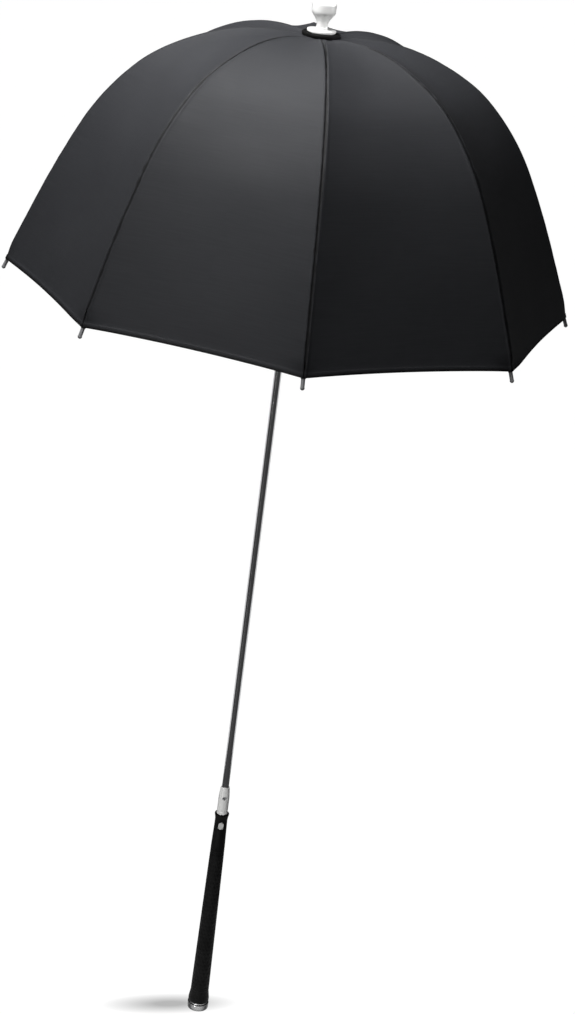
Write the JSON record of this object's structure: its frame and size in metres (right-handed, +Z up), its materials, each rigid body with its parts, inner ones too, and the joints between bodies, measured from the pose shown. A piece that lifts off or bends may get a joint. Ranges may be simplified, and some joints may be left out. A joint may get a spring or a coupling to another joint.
{
  "type": "golf umbrella",
  "caption": "Open dome umbrella with a faceted black canopy on sprung ribs, slim metal shaft, white finial and golf-club style rubber grip; runner folds the frame.",
  "frame": {"origin": "centre of the end cap's flat underside, at the butt of the grip", "axes": "+Z up the shaft towards the finial; +X along rib 1; the badge faces -Y"},
  "size_m": [0.609, 0.609, 1.209],
  "materials": {
    "bright_steel": "polished",
    "spring_steel": "satin",
    "rib_rod": "satin grey",
    "black_rubber": "moulded",
    "black_plastic": "moulded",
    "cap_plastic": "glossy",
    "white_plastic": "smooth",
    "badge_inlay": "smooth, blank",
    "canopy_cloth": "charcoal black nylon"
  },
  "bodies": {
    "shaft": {"shaft_tube": "bright_steel", "grip": "black_rubber", "end_cap": "cap_plastic", "badge": "badge_inlay", "collar": "white_plastic", "collar_pin": "spring_steel", "top_notch": "black_plastic", "notch_wire": "spring_steel", "crown_washer": "black_plastic", "finial_flange": "white_plastic", "finial": "white_plastic"},
    "runner": {"runner": "black_plastic", "runner_wire": "spring_steel"},
    "open_catch": {"open_catch": "spring_steel"},
    "closed_catch": {"closed_catch": "spring_steel"},
    "rib_upper_1": {"rib_upper_1": "rib_rod", "canopy_upper_1": "canopy_cloth"},
    "rib_lower_1": {"rib_lower_1": "rib_rod", "canopy_lower_1": "canopy_cloth"},
    "stretcher_1": {"stretcher_1": "spring_steel"},
    "rib_upper_2": {"rib_upper_2": "rib_rod", "canopy_upper_2": "canopy_cloth"},
    "rib_lower_2": {"rib_lower_2": "rib_rod", "canopy_lower_2": "canopy_cloth"},
    "stretcher_2": {"stretcher_2": "spring_steel"},
    "rib_upper_3": {"rib_upper_3": "rib_rod", "canopy_upper_3": "canopy_cloth"},
    "rib_lower_3": {"rib_lower_3": "rib_rod", "canopy_lower_3": "canopy_cloth"},
    "stretcher_3": {"stretcher_3": "spring_steel"},
    "rib_upper_4": {"rib_upper_4": "rib_rod", "canopy_upper_4": "canopy_cloth"},
    "rib_lower_4": {"rib_lower_4": "rib_rod", "canopy_lower_4": "canopy_cloth"},
    "stretcher_4": {"stretcher_4": "spring_steel"},
    "rib_upper_5": {"rib_upper_5": "rib_rod", "canopy_upper_5": "canopy_cloth"},
    "rib_lower_5": {"rib_lower_5": "rib_rod", "canopy_lower_5": "canopy_cloth"},
    "stretcher_5": {"stretcher_5": "spring_steel"},
    "rib_upper_6": {"rib_upper_6": "rib_rod", "canopy_upper_6": "canopy_cloth"},
    "rib_lower_6": {"rib_lower_6": "rib_rod", "canopy_lower_6": "canopy_cloth"},
    "stretcher_6": {"stretcher_6": "spring_steel"},
    "rib_upper_7": {"rib_upper_7": "rib_rod", "canopy_upper_7": "canopy_cloth"},
    "rib_lower_7": {"rib_lower_7": "rib_rod", "canopy_lower_7": "canopy_cloth"},
    "stretcher_7": {"stretcher_7": "spring_steel"},
    "rib_upper_8": {"rib_upper_8": "rib_rod", "canopy_upper_8": "canopy_cloth"},
    "rib_lower_8": {"rib_lower_8": "rib_rod", "canopy_lower_8": "canopy_cloth"},
    "stretcher_8": {"stretcher_8": "spring_steel"}
  },
  "joints": [
    {"name": "runner_slide", "type": "slide", "parent": "shaft", "child": "runner", "axis": [0, 0, -1], "range_m": [0, 0.2003], "deforming": ["canopy_upper_1", "canopy_upper_2", "canopy_upper_3", "canopy_upper_4", "canopy_upper_5", "canopy_upper_6", "canopy_upper_7", "canopy_upper_8", "canopy_lower_1", "canopy_lower_2", "canopy_lower_3", "canopy_lower_4", "canopy_lower_5", "canopy_lower_6", "canopy_lower_7", "canopy_lower_8"]},
    {"name": "open_catch_press", "type": "slide", "parent": "shaft", "child": "open_catch", "axis": [0, -1, 0], "range_m": [0, 0.0022], "stiffness_N_per_m": 400, "springref_m": -0.0005},
    {"name": "closed_catch_press", "type": "slide", "parent": "shaft", "child": "closed_catch", "axis": [0, -1, 0], "range_m": [0, 0.0022], "stiffness_N_per_m": 400, "springref_m": -0.0005},
    {"name": "rib_fold_1", "type": "hinge", "parent": "shaft", "child": "rib_upper_1", "pos_m": [0.01303, 0, 1.16993], "axis": [0, 1, 0], "range_deg": [0, 64.8]},
    {"name": "rib_flex_1", "type": "hinge", "parent": "rib_upper_1", "child": "rib_lower_1", "pos_m": [0.17933, 0, 1.12382], "axis": [0, -1, 0], "range_deg": [0, 34.3]},
    {"name": "stretcher_turn_1", "type": "hinge", "parent": "runner", "child": "stretcher_1", "pos_m": [0.01228, 0.0039, 0.985], "axis": [0, -1, 0], "range_deg": [0, 42.4]},
    {"name": "rib_fold_2", "type": "hinge", "parent": "shaft", "child": "rib_upper_2", "pos_m": [0.00921, 0.00921, 1.16993], "axis": [-0.7071, 0.7071, 0], "range_deg": [0, 64.8]},
    {"name": "rib_flex_2", "type": "hinge", "parent": "rib_upper_2", "child": "rib_lower_2", "pos_m": [0.1268, 0.1268, 1.12382], "axis": [0.7071, -0.7071, 0], "range_deg": [0, 34.3]},
    {"name": "stretcher_turn_2", "type": "hinge", "parent": "runner", "child": "stretcher_2", "pos_m": [0.00593, 0.01144, 0.985], "axis": [0.7071, -0.7071, 0], "range_deg": [0, 42.4]},
    {"name": "rib_fold_3", "type": "hinge", "parent": "shaft", "child": "rib_upper_3", "pos_m": [0, 0.01303, 1.16993], "axis": [-1, 0, 0], "range_deg": [0, 64.8]},
    {"name": "rib_flex_3", "type": "hinge", "parent": "rib_upper_3", "child": "rib_lower_3", "pos_m": [0, 0.17933, 1.12382], "axis": [1, 0, 0], "range_deg": [0, 34.3]},
    {"name": "stretcher_turn_3", "type": "hinge", "parent": "runner", "child": "stretcher_3", "pos_m": [-0.0039, 0.01228, 0.985], "axis": [1, 0, 0], "range_deg": [0, 42.4]},
    {"name": "rib_fold_4", "type": "hinge", "parent": "shaft", "child": "rib_upper_4", "pos_m": [-0.00921, 0.00921, 1.16993], "axis": [-0.7071, -0.7071, 0], "range_deg": [0, 64.8]},
    {"name": "rib_flex_4", "type": "hinge", "parent": "rib_upper_4", "child": "rib_lower_4", "pos_m": [-0.1268, 0.1268, 1.12382], "axis": [0.7071, 0.7071, 0], "range_deg": [0, 34.3]},
    {"name": "stretcher_turn_4", "type": "hinge", "parent": "runner", "child": "stretcher_4", "pos_m": [-0.01144, 0.00593, 0.985], "axis": [0.7071, 0.7071, 0], "range_deg": [0, 42.4]},
    {"name": "rib_fold_5", "type": "hinge", "parent": "shaft", "child": "rib_upper_5", "pos_m": [-0.01303, 0, 1.16993], "axis": [0, -1, 0], "range_deg": [0, 64.8]},
    {"name": "rib_flex_5", "type": "hinge", "parent": "rib_upper_5", "child": "rib_lower_5", "pos_m": [-0.17933, 0, 1.12382], "axis": [0, 1, 0], "range_deg": [0, 34.3]},
    {"name": "stretcher_turn_5", "type": "hinge", "parent": "runner", "child": "stretcher_5", "pos_m": [-0.01228, -0.0039, 0.985], "axis": [0, 1, 0], "range_deg": [0, 42.4]},
    {"name": "rib_fold_6", "type": "hinge", "parent": "shaft", "child": "rib_upper_6", "pos_m": [-0.00921, -0.00921, 1.16993], "axis": [0.7071, -0.7071, 0], "range_deg": [0, 64.8]},
    {"name": "rib_flex_6", "type": "hinge", "parent": "rib_upper_6", "child": "rib_lower_6", "pos_m": [-0.1268, -0.1268, 1.12382], "axis": [-0.7071, 0.7071, 0], "range_deg": [0, 34.3]},
    {"name": "stretcher_turn_6", "type": "hinge", "parent": "runner", "child": "stretcher_6", "pos_m": [-0.00593, -0.01144, 0.985], "axis": [-0.7071, 0.7071, 0], "range_deg": [0, 42.4]},
    {"name": "rib_fold_7", "type": "hinge", "parent": "shaft", "child": "rib_upper_7", "pos_m": [0, -0.01303, 1.16993], "axis": [1, 0, 0], "range_deg": [0, 64.8]},
    {"name": "rib_flex_7", "type": "hinge", "parent": "rib_upper_7", "child": "rib_lower_7", "pos_m": [0, -0.17933, 1.12382], "axis": [-1, 0, 0], "range_deg": [0, 34.3]},
    {"name": "stretcher_turn_7", "type": "hinge", "parent": "runner", "child": "stretcher_7", "pos_m": [0.0039, -0.01228, 0.985], "axis": [-1, 0, 0], "range_deg": [0, 42.4]},
    {"name": "rib_fold_8", "type": "hinge", "parent": "shaft", "child": "rib_upper_8", "pos_m": [0.00921, -0.00921, 1.16993], "axis": [0.7071, 0.7071, 0], "range_deg": [0, 64.8]},
    {"name": "rib_flex_8", "type": "hinge", "parent": "rib_upper_8", "child": "rib_lower_8", "pos_m": [0.1268, -0.1268, 1.12382], "axis": [-0.7071, -0.7071, 0], "range_deg": [0, 34.3]},
    {"name": "stretcher_turn_8", "type": "hinge", "parent": "runner", "child": "stretcher_8", "pos_m": [0.01144, -0.00593, 0.985], "axis": [-0.7071, -0.7071, 0], "range_deg": [0, 42.4]}
  ],
  "couplings": [
    {"joint": "rib_fold_1", "follows": "runner_slide", "rad_per_m": 5.6463},
    {"joint": "rib_flex_1", "follows": "runner_slide", "rad_per_m": 2.9887},
    {"joint": "stretcher_turn_1", "follows": "runner_slide", "rad_per_m": 3.6945},
    {"joint": "rib_fold_2", "follows": "runner_slide", "rad_per_m": 5.6463},
    {"joint": "rib_flex_2", "follows": "runner_slide", "rad_per_m": 2.9887},
    {"joint": "stretcher_turn_2", "follows": "runner_slide", "rad_per_m": 3.6945},
    {"joint": "rib_fold_3", "follows": "runner_slide", "rad_per_m": 5.6463},
    {"joint": "rib_flex_3", "follows": "runner_slide", "rad_per_m": 2.9887},
    {"joint": "stretcher_turn_3", "follows": "runner_slide", "rad_per_m": 3.6945},
    {"joint": "rib_fold_4", "follows": "runner_slide", "rad_per_m": 5.6463},
    {"joint": "rib_flex_4", "follows": "runner_slide", "rad_per_m": 2.9887},
    {"joint": "stretcher_turn_4", "follows": "runner_slide", "rad_per_m": 3.6945},
    {"joint": "rib_fold_5", "follows": "runner_slide", "rad_per_m": 5.6463},
    {"joint": "rib_flex_5", "follows": "runner_slide", "rad_per_m": 2.9887},
    {"joint": "stretcher_turn_5", "follows": "runner_slide", "rad_per_m": 3.6945},
    {"joint": "rib_fold_6", "follows": "runner_slide", "rad_per_m": 5.6463},
    {"joint": "rib_flex_6", "follows": "runner_slide", "rad_per_m": 2.9887},
    {"joint": "stretcher_turn_6", "follows": "runner_slide", "rad_per_m": 3.6945},
    {"joint": "rib_fold_7", "follows": "runner_slide", "rad_per_m": 5.6463},
    {"joint": "rib_flex_7", "follows": "runner_slide", "rad_per_m": 2.9887},
    {"joint": "stretcher_turn_7", "follows": "runner_slide", "rad_per_m": 3.6945},
    {"joint": "rib_fold_8", "follows": "runner_slide", "rad_per_m": 5.6463},
    {"joint": "rib_flex_8", "follows": "runner_slide", "rad_per_m": 2.9887},
    {"joint": "stretcher_turn_8", "follows": "runner_slide", "rad_per_m": 3.6945}
  ]
}
